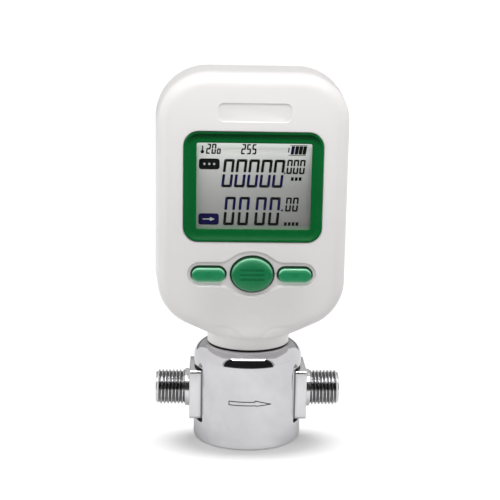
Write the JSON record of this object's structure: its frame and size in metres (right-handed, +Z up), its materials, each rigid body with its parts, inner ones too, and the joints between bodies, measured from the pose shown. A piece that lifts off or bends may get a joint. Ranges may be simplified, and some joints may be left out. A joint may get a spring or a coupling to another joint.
{
  "type": "air flow meter",
  "caption": "Compact gas flow meter: a threaded flow bar through a plated round base, with a short neck and an upright head that has a framed display and push buttons.",
  "frame": {"origin": "centre of the round base's bottom face", "axes": "+Z up along the base and neck axis, -Y the way the display faces, +X the way the gas flows (inlet at -X, outlet at +X)"},
  "size_m": [0.0706, 0.047, 0.1404],
  "materials": {
    "housing_white": "satin moulded",
    "trim_green": "satin moulded",
    "clear_window": "polished",
    "lcd_glass": "smooth",
    "light_guide": "frosted",
    "board_green": "solder mask",
    "chip_black": "matt",
    "connector_white": "matt",
    "rubber_black": "matt",
    "cell_can": "wrapped steel can",
    "contact_metal": "nickel plated",
    "screw_steel": "zinc plated",
    "post_aluminium": "turned",
    "plated_base": "mirror plated",
    "flow_steel": "machined bright",
    "screen_steel": "etched",
    "sensor_plastic": "moulded",
    "ribbon_white": "flat cable",
    "plate_aluminium": "turned"
  },
  "bodies": {
    "housing": {"front_cover": "housing_white", "rear_cover": "housing_white", "display_bezel": "trim_green", "display_window": "clear_window", "lcd_panel": "lcd_glass", "backlight": "light_guide", "contact_strips": "rubber_black", "main_board": "board_green", "board_screws": "screw_steel", "controller_chip": "chip_black", "board_connector": "connector_white", "left_switch": "chip_black", "function_switch": "chip_black", "right_switch": "chip_black", "battery_1": "cell_can", "battery_2": "cell_can", "battery_3": "cell_can", "contact_springs": "contact_metal", "contact_plates": "contact_metal", "battery_door": "housing_white", "door_screw": "screw_steel", "case_screws": "screw_steel", "neck_gasket": "rubber_black", "neck_post": "post_aluminium", "neck_screws": "screw_steel", "base_cover": "plated_base", "flow_body": "flow_steel", "inlet_screen": "screen_steel", "outlet_screen": "screen_steel", "screen_rings": "contact_metal", "sensor_plug": "sensor_plastic", "sensor_seal": "rubber_black", "sensor_board": "board_green", "sensor_connector": "connector_white", "sensor_screws": "screw_steel", "sensor_cable": "ribbon_white", "bottom_plate": "plate_aluminium", "base_screws": "screw_steel"},
    "left_button": {"left_button": "trim_green"},
    "function_button": {"function_button": "trim_green"},
    "right_button": {"right_button": "trim_green"}
  },
  "joints": [
    {"name": "left_press", "type": "slide", "parent": "housing", "child": "left_button", "axis": [0, 1, 0], "range_m": [0, 0.0005], "stiffness_N_per_m": 600, "springref_m": -0.001},
    {"name": "function_press", "type": "slide", "parent": "housing", "child": "function_button", "axis": [0, 1, 0], "range_m": [0, 0.0005], "stiffness_N_per_m": 600, "springref_m": -0.001},
    {"name": "right_press", "type": "slide", "parent": "housing", "child": "right_button", "axis": [0, 1, 0], "range_m": [0, 0.0005], "stiffness_N_per_m": 600, "springref_m": -0.001}
  ]
}
